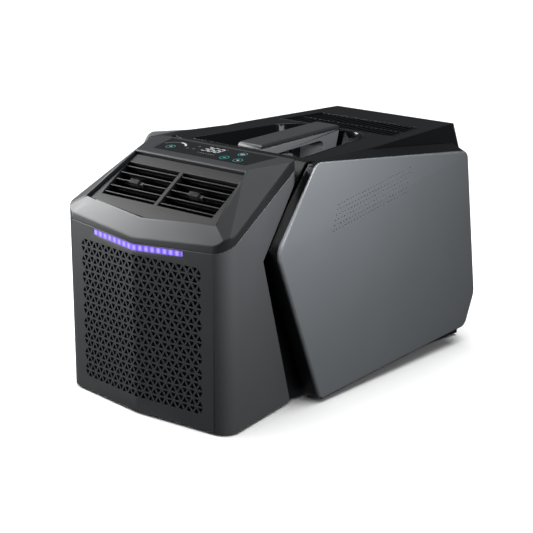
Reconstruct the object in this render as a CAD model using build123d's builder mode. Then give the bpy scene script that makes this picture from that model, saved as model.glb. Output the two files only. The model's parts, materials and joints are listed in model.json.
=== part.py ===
from build123d import *
from math import atan, cos, degrees, radians, sin, sqrt, tan
import os

# A portable air conditioner: a grey head with a V-shaped perforated nose and
# two louvred outlets, a black rear body under two faceted side panels, and a
# carrying handle over a well in the top. Millimetres, +Z up, nose towards -Y.
# The origin is on the floor, under the centre of the whole unit.

# ---- overall sizes -------------------------------------------------------
overall_length = 530.0     # nose tip to the rear louvre field
nose = -overall_length / 2
lift = 3.0                 # the shells hang this far above the floor
wall = 3.0                 # moulded wall of the casings
gap = 0.3                  # clearance between separate mouldings

# head
head_half_width = 145.0    # at the sharp front corners, before rounding
nose_depth = 15.0          # how far the corners sit behind the nose tip
head_taper = 0.168         # the sides close in this much per mm of depth
head_length = 170.0
front_corner_r = 22.0
rear_corner_r = 14.0
nose_slope = nose_depth / head_half_width
nose_angle = degrees(atan(nose_slope))

# height planes over the head: height at the nose tip, rise per x, rise per y
seam = (219.0 + lift, 0.0, 0.492)
top_deck = (297.2 + lift, 0.0, 0.0936)
vent_slope = (235.4 + lift, 0.0, 0.6976)
brow = (226.5 + lift, -0.0605, 1.246)
cheek_rear = (330.5 + lift, -0.6916, 0.4235)
cheek_front = (276.0 + lift, -0.338, 0.6306)

# waist notch in the head's sides, as (depth from the nose tip, height)
waist_point = (92.0, 201.0 + lift)
waist_upper = 0.862        # depth gained per mm of height above the point
waist_lower = 0.311        # depth gained per mm of height below the point

# nose perforation: an equilateral lattice of ribs
pitch = 12.0
rib = 2.4
hole_rows = 18
hole_columns = 18
lattice_top = 205.6 + lift

# light bar under the seam
bar_half_width = 78.0
bar_bottom = 210.0 + lift
bar_height = 7.8
bar_end_rise = 4.6
bar_end_height = 6.6
bar_flange = 2.0
board = 1.6                # printed circuit boards

# outlet recess and louvres, measured in the sloping vent plane
recess_tip = 22.5
recess_corner = (114.0, 34.5)
recess_top = (95.5, 121.0)
recess_gap = 2.0
plate_depth = 3.5
plate_thickness = 3.0
lip_width = 5.0
lip_thickness = 2.5
window_width = 93.5
window_height = 57.5
window_bottom = 46.5
divider = 6.2
duct_wall = 1.8
duct_depth = 40.0
slat_count = 5
slat_chord = 14.0
slat_thickness = 1.8
slat_depth = 11.5          # depth of the slat pivots below the vent plane
pivot_r = 1.2
pivot_clearance = 0.06
end_play = 0.4
vane_count = 3
vane_chord = 13.0
vane_thickness = 1.5
vane_depth = 31.0
knob_width = 16.0
knob_clip = 7.0            # the plain clip beside the ribbed tab
knob_height = 6.4
knob_clearance = 0.08
knob_offsets = {"left": -11.0, "right": -6.3}  # where each knob sits on its slat

# touch panel
glass_front = (80.0, 117.0)
glass_rear = (91.5, 162.0)
glass_thickness = 2.0

# rear body
body_half_width = 124.0
body_top = 306.0 + lift
body_front = 188.0
body_front_half = 95.0
body_front_sweep = 11.0    # how far the front edge falls back at the sides
body_end = 518.0
crease_front = (125.0, 315.0)
crease_rear = (105.0, 521.0)
crease_lean = 0.32         # outward per mm down
frame_half_width = 117.0
frame_start = 84.0
frame_window_width = 216.0
frame_window_z = 250.0
frame_window_reach = 45.0  # how far back the window cuts the leaning wall
bulkhead = 172.0

# side pods and panels, as (depth from the nose tip, height)
panel_outline = [
    (180.0, 3.6), (97.2, 214.2), (172.8, 315.0),
    (494.0, 280.0), (523.2, 70.2), (502.8, 24.0),
]
panel_radii = [9.0, 26.0, 17.0, 12.0, 26.0, 14.0]
pod_outer = 145.0
pod_inset = 1.6
pod_clear = 1.5
pod_cavity = [
    (190.0, 14.0), (112.0, 214.0), (178.0, 288.0),
    (484.0, 262.0), (512.0, 72.0), (494.0, 34.0),
]
pod_ribs = (231.5, 301.5, 371.5, 441.5)
pod_rib = 3.0
boss_r = 5.0
boss_heights = (60.0, 220.0)
pod_top_rise = 0.45
panel_base = 3.5
panel_bevel = 2.5
facet_tilt = 2.2

# handle and its well
well_outline = [(99.0, 200.0), (82.0, 318.0), (74.0, 381.0)]
well_depth = 55.0
well_wall = 2.5
well_taper = 20.0
rim_width = 2.0            # flanges that hold the top inserts from below
well_shoulder = 40.0       # the walls turn in more below this depth
grip_half_width = 20.0
grip_front = 208.0
grip_rear = 371.0
grip_front_top = 310.0 + lift
grip_rear_top = 314.5 + lift
grip_thickness = 16.0
grip_seam = 6.0            # the cap is this thick
grip_leg = 24.0

# exhaust grille in the top
exhaust_front = (100.0, 385.6)
exhaust_rear = (89.0, 466.0)
exhaust_ribs = 22
exhaust_depth = 9.0

os.makedirs("parts", exist_ok=True)


def save(part, name):
    part.label = name
    export_step(part, f"parts/{name}.step")


def y_at(depth):
    return nose + depth


def height_plane(z0, per_x, per_y, drop=0.0):
    """The plane z = z0 + per_x * x + per_y * depth, lowered along its normal."""
    normal = Vector(-per_x, -per_y, 1).normalized()
    return Plane(origin=Vector(0, nose, z0) - normal * drop, z_dir=normal)


vent_angle = atan(vent_slope[2])
vent_plane = Plane(
    origin=(0, nose, vent_slope[0]),
    x_dir=(1, 0, 0),
    z_dir=(0, -sin(vent_angle), cos(vent_angle)),
)
deck_angle = atan(top_deck[2])
deck_plane = Plane(
    origin=(0, nose, top_deck[0]),
    x_dir=(1, 0, 0),
    z_dir=(0, -sin(deck_angle), cos(deck_angle)),
)


def mirrored(points):
    """A closed outline from its right half, listed from front to rear."""
    return points + [(-x, y) for x, y in reversed(points) if x != 0]


def box_between(low, high):
    """A box by its lowest and highest corners, for use inside a part."""
    size = [b - a for a, b in zip(low, high)]
    middle = tuple((a + b) / 2 for a, b in zip(low, high))
    with Locations(middle):
        return Box(*size)


def outline(points, inset=0.0):
    with BuildSketch() as flat:
        with BuildLine():
            Polyline(*points, close=True)
        make_face()
        if inset:
            offset(amount=-inset, kind=Kind.INTERSECTION)
    return flat.sketch


# ---- head ----------------------------------------------------------------
def head_plan(inset=0.0):
    rear_x = head_half_width - head_taper * (head_length - nose_depth)
    right = [(0, nose), (head_half_width, y_at(nose_depth)), (rear_x, y_at(head_length))]
    with BuildSketch() as plan:
        with BuildLine():
            Polyline(*mirrored(right), close=True)
        make_face()
        corners = plan.vertices().sort_by(Axis.Y)
        fillet(corners[1:3], radius=front_corner_r)
        corners = plan.vertices().sort_by(Axis.Y)
        fillet(corners[-2:], radius=rear_corner_r)
        if inset:
            offset(amount=-inset)
    return plan.sketch


def head_form(inset, seam_side):
    """The head's outer volume above or below the seam, or that volume inset."""
    with BuildPart() as form:
        with BuildSketch(Plane.XY.offset(lift)):
            add(head_plan(inset))
        extrude(amount=body_top + lift)
        for slope in (top_deck, vent_slope):
            split(bisect_by=height_plane(*slope, inset), keep=Keep.BOTTOM)
        for z0, per_x, per_y in (brow, cheek_rear, cheek_front):
            split(bisect_by=height_plane(z0, per_x, per_y, inset), keep=Keep.BOTTOM)
            split(bisect_by=height_plane(z0, -per_x, per_y, inset), keep=Keep.BOTTOM)
        if seam_side:
            split(bisect_by=height_plane(*seam), keep=seam_side)
    return form.part


def recess_points():
    return mirrored([(0, recess_tip), recess_corner, recess_top])


def window_centres():
    middle = (window_width + divider) / 2
    height = window_bottom + window_height / 2
    return [(-middle, height), (middle, height)]


duct_field = (
    2 * window_width + divider + 2 * duct_wall,
    window_height + 2 * duct_wall,
)
duct_centre = (0, window_bottom + window_height / 2)
pocket = plate_depth + plate_thickness

with BuildPart() as tub:
    with BuildSketch(vent_plane):
        add(outline(recess_points(), -2.5))
    extrude(amount=-(pocket + lip_thickness))
    add(head_form(0, Keep.TOP), mode=Mode.INTERSECT)

with BuildPart() as hood:
    add(head_form(0, Keep.TOP))
    add(head_form(wall, None), mode=Mode.SUBTRACT)
    add(tub.part)
    with BuildSketch(vent_plane.offset(5)):
        add(outline(recess_points()))
    extrude(amount=-5 - pocket, mode=Mode.SUBTRACT)
    with BuildSketch(vent_plane.offset(5)):
        add(outline(recess_points(), lip_width))
        with Locations(duct_centre):
            Rectangle(duct_field[0] + 2 * gap, duct_field[1] + 2 * gap)
    extrude(amount=-60, mode=Mode.SUBTRACT)
    glass_points = mirrored([
        (glass_front[0], glass_front[1] / cos(deck_angle)),
        (glass_rear[0], glass_rear[1] / cos(deck_angle)),
    ])
    with BuildSketch(deck_plane.offset(5)):
        add(outline(glass_points, -gap))
    extrude(amount=-5 - glass_thickness, mode=Mode.SUBTRACT)
save(hood.part, "hood")

with BuildPart() as control_glass:
    with BuildSketch(deck_plane.offset(-glass_thickness)):
        add(outline(glass_points))
    extrude(amount=glass_thickness - 0.2)
save(control_glass.part, "control_glass")

board_depth = wall + 0.2
board_size = (150.0, 34.0)
chip_size = (46.0, 18.0)
board_centre = (0, (glass_front[1] + glass_rear[1]) / 2 / cos(deck_angle))
with BuildPart() as control_board:
    with BuildSketch(deck_plane.offset(-board_depth - board)):
        with Locations(board_centre):
            Rectangle(*board_size)
    extrude(amount=board)
    with BuildSketch(deck_plane.offset(-board_depth - board)):
        with Locations(board_centre):
            Rectangle(*chip_size)
    extrude(amount=-4)
save(control_board.part, "control_board")


# ---- nose shell with its perforation --------------------------------------
def nose_layer(near, far, half_width):
    """Plan of a layer that follows the V of the nose, between two depths."""
    side = nose_slope * half_width
    return [
        (0, y_at(near)), (half_width, y_at(near + side)),
        (half_width, y_at(far + side)), (0, y_at(far)),
        (-half_width, y_at(far + side)), (-half_width, y_at(near + side)),
    ]


def bar_outline(grow=0.0):
    ends = bar_half_width + grow
    return [
        (-ends, bar_bottom + bar_end_rise - grow), (0, bar_bottom - grow),
        (ends, bar_bottom + bar_end_rise - grow),
        (ends, bar_bottom + bar_end_rise + bar_end_height + grow),
        (0, bar_bottom + bar_height + grow),
        (-ends, bar_bottom + bar_end_rise + bar_end_height + grow),
    ]


row_height = pitch * sqrt(3) / 2
hole_side = pitch - rib * sqrt(3)
hole_r = hole_side / sqrt(3)


def hole_places(pointing_up):
    """Centres of the triangular holes that point up, or of those that point down."""
    places = []
    for row in range(hole_rows):
        wide_at_bottom = row % 2 == 0
        full = wide_at_bottom == pointing_up
        count = hole_columns if full else hole_columns - 1
        below = row_height * (2 / 3 if pointing_up else 1 / 3)
        z = lattice_top - row * row_height - below
        for column in range(count):
            places.append(((column - (count - 1) / 2) * pitch, z))
    return places


nose_wall = wall / cos(radians(nose_angle))
front_plane = Plane(origin=(0, nose - 1, 0), x_dir=(1, 0, 0), z_dir=(0, -1, 0))


def waist_line(shift=0.0):
    """The notch line of the waist from bottom to top, moved back by a shift."""
    tip, tip_z = waist_point
    low, high = -10.0, 340.0
    return [
        (y_at(tip + shift + waist_lower * (tip_z - low)), low),
        (y_at(tip + shift), tip_z),
        (y_at(tip + shift + waist_upper * (high - tip_z)), high),
    ]


with BuildPart() as waist_cut:
    line = waist_line()
    behind = y_at(head_length + 150)
    with BuildSketch(Plane.YZ):
        add(outline(line + [(behind, line[2][1]), (behind, line[0][1])]))
    extrude(amount=head_half_width + 10, both=True)

with BuildPart() as front_shell:
    add(head_form(0, Keep.BOTTOM))
    add(head_form(wall, None), mode=Mode.SUBTRACT)
    add(waist_cut.part, mode=Mode.SUBTRACT)
    with BuildSketch(front_plane):
        add(outline(bar_outline(gap / 2)))
        with Locations(*hole_places(True)):
            RegularPolygon(radius=hole_r, side_count=3, rotation=90)
        with Locations(*hole_places(False)):
            RegularPolygon(radius=hole_r, side_count=3, rotation=-90)
    extrude(amount=-(nose_depth + wall + 12), mode=Mode.SUBTRACT)
save(front_shell.part, "front_shell")

with BuildPart() as light_bar:
    with BuildSketch(Plane.XY.offset(bar_bottom - 10)):
        add(outline(nose_layer(0.2, nose_wall, bar_half_width + 8)))
    extrude(amount=40)
    with BuildSketch(front_plane):
        add(outline(bar_outline()))
    extrude(amount=-60, mode=Mode.INTERSECT)
with BuildPart() as bar_back:
    with BuildSketch(Plane.XY.offset(bar_bottom - 10)):
        add(outline(nose_layer(nose_wall, nose_wall + bar_flange, bar_half_width + 8)))
    extrude(amount=40)
    with BuildSketch(front_plane):
        add(outline(bar_outline(1.2)))
    extrude(amount=-60, mode=Mode.INTERSECT)
with BuildPart() as light_diffuser:
    add(light_bar.part)
    add(bar_back.part)
save(light_diffuser.part, "light_diffuser")

with BuildPart() as light_board:
    with BuildSketch(Plane.XY.offset(bar_bottom - 10)):
        near = nose_wall + bar_flange
        add(outline(nose_layer(near, near + board, bar_half_width + 8)))
    extrude(amount=40)
    with BuildSketch(front_plane):
        add(outline(bar_outline(1.0)))
    extrude(amount=-60, mode=Mode.INTERSECT)
save(light_board.part, "light_board")


# ---- outlet recess: plate, slats, knobs and vanes --------------------------
def depth_plane(depth):
    return vent_plane.offset(-depth)


slat_pitch = window_height / slat_count
vane_pitch = window_width / (vane_count + 1)
hole_clear = pivot_r + pivot_clearance


def slat_heights():
    return [window_bottom + slat_pitch * (i + 0.5) for i in range(slat_count)]


def vane_offsets():
    return [(i - (vane_count - 1) / 2) * vane_pitch for i in range(vane_count)]


with BuildPart() as vent_plate:
    with BuildSketch(depth_plane(plate_depth)):
        add(outline(recess_points(), recess_gap))
    extrude(amount=-plate_thickness)
    with BuildSketch(depth_plane(plate_depth)):
        with Locations(*window_centres()):
            Rectangle(window_width + 2 * duct_wall, window_height + 2 * duct_wall)
    extrude(amount=plate_depth - duct_depth)
    with BuildSketch(depth_plane(plate_depth - 5)):
        with Locations(*window_centres()):
            Rectangle(window_width, window_height)
    extrude(amount=-60, mode=Mode.SUBTRACT)
    side = Plane(origin=(0, nose, vent_slope[0]), x_dir=vent_plane.y_dir, z_dir=(1, 0, 0))
    with BuildSketch(side):
        with Locations(*[(v, -slat_depth) for v in slat_heights()]):
            Circle(hole_clear)
    extrude(amount=window_width + divider / 2 + duct_wall + 1, both=True, mode=Mode.SUBTRACT)
    bottom = Plane(
        origin=vent_plane.from_local_coords((0, window_bottom - duct_wall - 1, 0)),
        x_dir=(1, 0, 0),
        z_dir=vent_plane.y_dir,
    )
    with BuildSketch(bottom):
        with Locations(*[
            (centre_x + dx, vane_depth)
            for centre_x, centre_v in window_centres() for dx in vane_offsets()
        ]):
            Circle(hole_clear)
    extrude(amount=window_height + 2 * duct_wall + 2, mode=Mode.SUBTRACT)
save(vent_plate.part, "vent_plate")

pin_length = 1.4
for side_name, (centre_x, centre_v) in zip(("left", "right"), window_centres()):
    for i, v in enumerate(slat_heights(), start=1):
        along = Plane(
            origin=vent_plane.from_local_coords((centre_x, v, -slat_depth)),
            x_dir=vent_plane.z_dir,
            z_dir=(1, 0, 0),
        )
        with BuildPart() as slat:
            with BuildSketch(along):
                SlotOverall(slat_chord, slat_thickness)
                Circle(pivot_r)
            extrude(amount=window_width / 2 - end_play, both=True)
            with BuildSketch(along):
                Circle(pivot_r)
            extrude(amount=window_width / 2 + pin_length, both=True)
        save(slat.part, f"{side_name}_slat_{i}")

    middle = slat_heights()[slat_count // 2]
    knob_x = centre_x + knob_offsets[side_name]
    knob_plane = Plane(
        origin=vent_plane.from_local_coords((knob_x, middle, -slat_depth)),
        x_dir=vent_plane.z_dir,
        z_dir=(1, 0, 0),
    )
    with BuildPart() as knob:
        with BuildSketch(knob_plane):
            with Locations((slat_chord / 2 - 3.0, 0)):
                RectangleRounded(10.0, knob_height, 1.6)
        extrude(amount=knob_width / 2, both=True)
        with BuildSketch(knob_plane.offset(knob_width / 2)):
            with Locations((slat_chord / 2 - 4.5, 0)):
                RectangleRounded(8.0, knob_height - 1.6, 1.2)
        extrude(amount=knob_clip)
        with BuildSketch(knob_plane.offset(-knob_width)):
            SlotOverall(slat_chord + 2 * knob_clearance, slat_thickness + 2 * knob_clearance)
            Circle(pivot_r + knob_clearance)
        extrude(amount=2 * knob_width + knob_clip, mode=Mode.SUBTRACT)
    save(knob.part, f"{side_name}_knob")

    for i, dx in enumerate(vane_offsets(), start=1):
        upright = Plane(
            origin=vent_plane.from_local_coords((centre_x + dx, centre_v, -vane_depth)),
            x_dir=vent_plane.z_dir,
            z_dir=vent_plane.y_dir,
        )
        with BuildPart() as vane:
            with BuildSketch(upright):
                SlotOverall(vane_chord, vane_thickness)
                Circle(pivot_r)
            extrude(amount=window_height / 2 - end_play, both=True)
            with BuildSketch(upright):
                Circle(pivot_r)
            extrude(amount=window_height / 2 + pin_length, both=True)
        save(vane.part, f"{side_name}_vane_{i}")


# ---- body: centre frame, casing and rear cover -----------------------------
def body_plan(start, end, half_width, sweep):
    """Plan between two depths; sweep gives the swept front edge of the casing."""
    if sweep:
        right = [(0, y_at(start)), (body_front_half, y_at(start)),
                 (half_width, y_at(start + body_front_sweep)), (half_width, y_at(end))]
    else:
        right = [(0, y_at(start)), (half_width, y_at(start)), (half_width, y_at(end))]
    return mirrored(right)


def casing_form(inset, start, end, sweep):
    """The rear body's volume between two depths; inset, it is open below."""
    run = (crease_front[0] - crease_rear[0]) / (crease_rear[1] - crease_front[1])
    x0 = crease_front[0] + run * crease_front[1] + crease_lean * body_top
    with BuildPart() as form:
        bottom_z = lift - inset
        with BuildSketch(Plane.XY.offset(bottom_z)):
            add(outline(body_plan(start, end, body_half_width - inset, sweep)))
        extrude(amount=body_top - inset - bottom_z)
        for mirror_x in (1, -1):
            normal = Vector(mirror_x, run, crease_lean).normalized()
            origin = Vector(mirror_x * x0, nose, 0) - normal * inset
            split(bisect_by=Plane(origin=origin, z_dir=normal), keep=Keep.BOTTOM)
    return form.part


def well_plan(inset=0.0):
    with BuildSketch() as plan:
        with BuildLine():
            Polyline(*mirrored([(x, y_at(t)) for x, t in well_outline]), close=True)
        make_face()
        corners = plan.vertices().sort_by(Axis.Y)
        fillet(corners[:2], radius=10)
        corners = plan.vertices().sort_by(Axis.Y)
        fillet(corners[-2:], radius=42)
        if inset:
            offset(amount=-inset)
    return plan.sketch


def exhaust_points():
    return mirrored([(x, y_at(t)) for x, t in (exhaust_front, exhaust_rear)])


intake_slots = 9
intake_slot = (130.0, 9.0)
intake_slot_pitch = 18.0
intake_centre = (420.0, 118.0)
with BuildPart() as main_casing:
    add(casing_form(0, body_front, body_end, True))
    add(casing_form(wall, body_front - 5, body_end + 5, False), mode=Mode.SUBTRACT)
    with BuildSketch(Plane.XY.offset(body_top + 1)):
        add(well_plan(-gap / 2))
        add(outline(exhaust_points(), -gap / 2))
    extrude(amount=-wall - 10, mode=Mode.SUBTRACT)
    with BuildSketch(Plane.YZ.offset(-body_half_width - 5)):
        with Locations((y_at(intake_centre[0]), intake_centre[1])):
            with GridLocations(0, intake_slot_pitch, 1, intake_slots):
                SlotOverall(*intake_slot)
    extrude(amount=2 * body_half_width + 10, mode=Mode.SUBTRACT)
save(main_casing.part, "main_casing")

frame_end = body_front
with BuildPart() as frame_tunnel:
    with BuildSketch(Plane.XY.offset(lift - 1)):
        add(outline(body_plan(frame_start - 5, frame_end + 20, frame_half_width - wall, False)))
    extrude(amount=body_top + 20)
    lean = height_plane(body_top - body_front / waist_upper, 0, 1 / waist_upper, wall)
    split(bisect_by=lean, keep=Keep.BOTTOM)
    split(bisect_by=Plane.XY.offset(body_top - wall), keep=Keep.BOTTOM)
with BuildPart() as mid_frame:
    swept = (frame_half_width - body_front_half) / (body_half_width - body_front_half)
    frame_right = [
        (0, y_at(frame_start)), (frame_half_width, y_at(frame_start)),
        (frame_half_width, y_at(frame_end + body_front_sweep * swept)),
        (body_front_half, y_at(frame_end)), (0, y_at(frame_end)),
    ]
    with BuildSketch(Plane.XY.offset(lift)):
        add(outline(mirrored(frame_right)))
    extrude(amount=body_top - lift)
    lean = height_plane(body_top - body_front / waist_upper, 0, 1 / waist_upper)
    split(bisect_by=lean, keep=Keep.BOTTOM)
    add(frame_tunnel.part, mode=Mode.SUBTRACT)
    with BuildSketch(Plane.XZ.offset(-y_at(frame_start - 5))):
        with Locations((0, frame_window_z)):
            Rectangle(frame_window_width, body_top)
    extrude(amount=-frame_window_reach, mode=Mode.SUBTRACT)
save(mid_frame.part, "mid_frame")

cover_end = 524.0
cover_edge_r = 4.0
field_size = (190.0, 200.0)  # the raised louvre field of the rear cover
field_z = 140.0
field_slots = 13
field_slot = (164.0, 7.0)
field_slot_pitch = 13.5
inlet_place = (92, 262)
inlet_r = 13.0
inlet_flange_r = 16.0
inlet_depth = 24.0
socket_r = 9.0
drain_place = (-84, 30)
drain_bore_r = 5.0
spout_r = 7.0
spout_collar_r = 8.9
with BuildPart() as rear_cover:
    add(casing_form(0, body_end, cover_end, False))
    rim = rear_cover.faces().sort_by(Axis.Y)[-1].edges()
    fillet(rim, radius=cover_edge_r)
    add(casing_form(wall, body_end - 5, body_end + wall, False), mode=Mode.SUBTRACT)
    with BuildSketch(Plane.XZ.offset(-y_at(cover_end - 1))):
        with Locations((0, field_z)):
            RectangleRounded(*field_size, 12)
    extrude(amount=-(overall_length - cover_end + 1), taper=20)
    with BuildSketch(Plane.XZ.offset(-y_at(overall_length + 2))):
        with Locations((0, field_z)):
            with GridLocations(0, field_slot_pitch, 1, field_slots):
                SlotOverall(*field_slot)
    extrude(amount=20, mode=Mode.SUBTRACT)
    with BuildSketch(Plane.XZ.offset(-y_at(overall_length + 2))):
        with Locations(inlet_place):
            Circle(inlet_r + gap)
        with Locations(drain_place):
            Circle(spout_collar_r + gap)
    extrude(amount=20, mode=Mode.SUBTRACT)
save(rear_cover.part, "rear_cover")

with BuildPart() as power_inlet:
    with BuildSketch(Plane.XZ.offset(-y_at(cover_end + 2))):
        with Locations(inlet_place):
            Circle(inlet_flange_r)
    extrude(amount=2)
    with BuildSketch(Plane.XZ.offset(-y_at(cover_end))):
        with Locations(inlet_place):
            Circle(inlet_r)
    extrude(amount=inlet_depth)
    with BuildSketch(Plane.XZ.offset(-y_at(cover_end + 3))):
        with Locations(inlet_place):
            Circle(socket_r)
    extrude(amount=17, mode=Mode.SUBTRACT)
    with BuildSketch(Plane.XZ.offset(-y_at(cover_end - 3))):
        with Locations(inlet_place):
            with GridLocations(8, 0, 2, 1):
                Circle(1.6)
    extrude(amount=14)
save(power_inlet.part, "power_inlet")

with BuildPart() as drain_spout:
    with BuildSketch(Plane.XZ.offset(-y_at(overall_length - 1))):
        with Locations(drain_place):
            Circle(spout_r)
            Circle(drain_bore_r, mode=Mode.SUBTRACT)
    extrude(amount=15)
    with BuildSketch(Plane.XZ.offset(-y_at(cover_end - 3))):
        with Locations(drain_place):
            Circle(spout_collar_r)
            Circle(drain_bore_r, mode=Mode.SUBTRACT)
    extrude(amount=5)
save(drain_spout.part, "drain_spout")


# ---- handle well and handle ------------------------------------------------
with BuildPart() as well_cavity:
    with BuildSketch(Plane.XY.offset(body_top)):
        add(well_plan(well_wall))
    extrude(amount=-well_shoulder, taper=well_taper)
    with BuildSketch(Plane.XY.offset(body_top - well_shoulder)):
        add(well_plan(well_wall + well_shoulder * tan(radians(well_taper))))
    extrude(amount=-(well_depth - well_wall - well_shoulder), taper=52)
with BuildPart() as handle_well:
    with BuildSketch(Plane.XY.offset(body_top)):
        add(well_plan())
    extrude(amount=-well_depth, taper=well_taper)
    with BuildSketch(Plane.XY.offset(body_top - wall)):
        add(well_plan(-rim_width))
    extrude(amount=-2)
    add(well_cavity.part, mode=Mode.SUBTRACT)
save(handle_well.part, "handle_well")

grip_rise = (grip_rear_top - grip_front_top) / (grip_rear - grip_front)
floor_z = body_top - well_depth + well_wall
nose_drop = 9.0            # the front of the grip turns down over this height
nose_run = 7.0
tail_drop = 7.0
tail_rake = 14.0           # the rear leg leans forward by this much at its foot
crown_r = 3.5


def grip_z(depth, below=0.0):
    return grip_front_top + grip_rise * (depth - grip_front) - below


with BuildPart() as grip_form:
    with BuildSketch(Plane.YZ.offset(-grip_half_width)):
        with BuildLine():
            Polyline(*[(y_at(t), z) for t, z in (
                (grip_front, floor_z),
                (grip_front, grip_z(grip_front, nose_drop)),
                (grip_front + nose_run, grip_z(grip_front + nose_run)),
                (grip_rear, grip_z(grip_rear)),
                (grip_rear + 1, grip_z(grip_rear, tail_drop)),
                (grip_rear - tail_rake, floor_z),
                (grip_rear - tail_rake - grip_leg, floor_z),
                (grip_rear - tail_rake / 2 - grip_leg, grip_z(grip_rear, grip_thickness)),
                (grip_front + grip_leg + 8, grip_z(grip_front, grip_thickness)),
                (grip_front + grip_leg, floor_z),
            )], close=True)
        make_face()
    extrude(amount=2 * grip_half_width)
    long_edges = grip_form.edges().filter_by(Axis.X).filter_by(
        lambda e: e.center().Z > floor_z + 1)
    fillet(long_edges.sort_by(Axis.Z)[:2], radius=9)
with BuildPart() as seam_block:
    with BuildSketch(Plane.YZ.offset(-grip_half_width - 5)):
        with BuildLine():
            Polyline(*[(y_at(t), z) for t, z in (
                (grip_front - 20, grip_z(grip_front - 20, grip_seam)),
                (grip_rear + 20, grip_z(grip_rear + 20, grip_seam)),
                (grip_rear + 20, 400), (grip_front - 20, 400),
            )], close=True)
        make_face()
    extrude(amount=2 * grip_half_width + 10)
with BuildPart() as handle_cap:
    add(grip_form.part)
    add(seam_block.part, mode=Mode.INTERSECT)
    fillet(handle_cap.faces().sort_by(Axis.Z)[-1].edges(), radius=crown_r)
save(handle_cap.part, "handle_cap")
with BuildPart() as grip_space:
    add(well_cavity.part)
    with BuildSketch(Plane.XY.offset(body_top)):
        add(well_plan(well_wall))
    extrude(amount=well_shoulder)
with BuildPart() as handle_grip:
    add(grip_form.part)
    add(seam_block.part, mode=Mode.SUBTRACT)
    add(grip_space.part, mode=Mode.INTERSECT)
save(handle_grip.part, "handle_grip")


# ---- exhaust grille --------------------------------------------------------
with BuildPart() as exhaust_grille:
    with BuildSketch(Plane.XY.offset(body_top)):
        add(outline(exhaust_points()))
        add(outline(exhaust_points(), 3.0), mode=Mode.SUBTRACT)
    extrude(amount=-exhaust_depth)
    with BuildSketch(Plane.XY.offset(body_top - wall)):
        add(outline(exhaust_points(), -rim_width))
        add(outline(exhaust_points(), 2.0), mode=Mode.SUBTRACT)
    extrude(amount=-2)
    ribs_width = 2 * exhaust_front[0] - 14
    rib_pitch = ribs_width / exhaust_ribs
    with BuildSketch(Plane.XY.offset(body_top - 1.5)):
        with Locations((0, y_at((exhaust_front[1] + exhaust_rear[1]) / 2))):
            with GridLocations(rib_pitch, 0, exhaust_ribs, 1):
                Rectangle(2.2, exhaust_rear[1] - exhaust_front[1] - 2)
            Rectangle(2 * exhaust_front[0], 2.0)
        add(outline(exhaust_points(), 1.0), mode=Mode.INTERSECT)
    extrude(amount=-exhaust_depth + 1.5)
save(exhaust_grille.part, "exhaust_grille")


# ---- side pods and panels --------------------------------------------------
def side_outline(inset=0.0, raise_top=0.0):
    """The faceted side outline with round corners, as (y, z)."""
    points = [(y_at(t), z) for t, z in panel_outline]
    points[2] = (points[2][0] + raise_top * waist_upper, points[2][1] + raise_top)
    points[3] = (points[3][0], points[3][1] + raise_top)
    with BuildSketch() as flat:
        with BuildLine():
            Polyline(*points, close=True)
        make_face()
        for (y, z), radius in zip(points, panel_radii):
            corner = flat.vertices().sort_by_distance((y, z, 0))[0]
            fillet(corner, radius=radius)
        if inset:
            offset(amount=-inset)
    return flat.sketch


top_run = panel_outline[3][0] - panel_outline[2][0]
top_fall = (panel_outline[3][1] - panel_outline[2][1]) / top_run
pod_top = height_plane(
    panel_outline[2][1] - top_fall * panel_outline[2][0] + pod_top_rise * pod_outer - pod_inset,
    -pod_top_rise, top_fall,
)
with BuildPart() as right_pod:
    with BuildSketch(Plane.YZ.offset(body_half_width)):
        add(side_outline(pod_inset, 14))
    extrude(amount=pod_outer - body_half_width)
    split(bisect_by=pod_top, keep=Keep.BOTTOM)
    split(bisect_by=Plane.XY.offset(body_top), keep=Keep.BOTTOM)
    line = waist_line(pod_clear)
    with BuildSketch(Plane.YZ.offset(body_half_width - 1)):
        add(outline(line + [(nose, line[2][1]), (nose, line[0][1])]))
    head_edge = head_half_width - head_taper * (waist_point[0] - nose_depth)
    extrude(amount=head_edge + pod_clear - body_half_width + 1, mode=Mode.SUBTRACT)
    with BuildSketch(Plane.YZ.offset(body_half_width - 1)):
        add(outline([(y_at(t), z) for t, z in pod_cavity]))
        with Locations(*[(y_at(t), body_top / 2) for t in pod_ribs]):
            Rectangle(pod_rib, body_top, mode=Mode.SUBTRACT)
        with Locations(*[(y_at(t), z) for t in (pod_ribs[0], pod_ribs[-1]) for z in boss_heights]):
            Circle(boss_r, mode=Mode.SUBTRACT)
    extrude(amount=pod_outer - body_half_width + 2, mode=Mode.SUBTRACT)
save(right_pod.part, "right_pod")
left_pod = mirror(right_pod.part, about=Plane.YZ)
save(left_pod, "left_pod")

upper_crease = ((98.7, 215.5), (489.0, 274.5))
lower_crease = ((212.0, 7.5), (518.4, 58.9))


def facet_plane(crease, turn):
    """A plane through a crease line on the panel's face, tilted inwards."""
    (t0, z0), (t1, z1) = crease
    along = Vector(0, t1 - t0, z1 - z0).normalized()
    away = Vector(1, 0, 0).cross(along) * turn
    lean = radians(facet_tilt)
    return Plane(
        origin=(pod_outer + panel_base + panel_bevel, y_at(t0), z0),
        z_dir=Vector(cos(lean), 0, 0) + away * sin(lean),
    )


with BuildPart() as right_panel:
    with BuildSketch(Plane.YZ.offset(pod_outer)):
        add(side_outline())
    extrude(amount=panel_base)
    with BuildSketch(Plane.YZ.offset(pod_outer + panel_base)):
        add(side_outline())
    extrude(amount=panel_bevel, taper=45)
    split(bisect_by=facet_plane(upper_crease, 1), keep=Keep.BOTTOM)
    split(bisect_by=facet_plane(lower_crease, -1), keep=Keep.BOTTOM)
save(right_panel.part, "right_panel")

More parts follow.
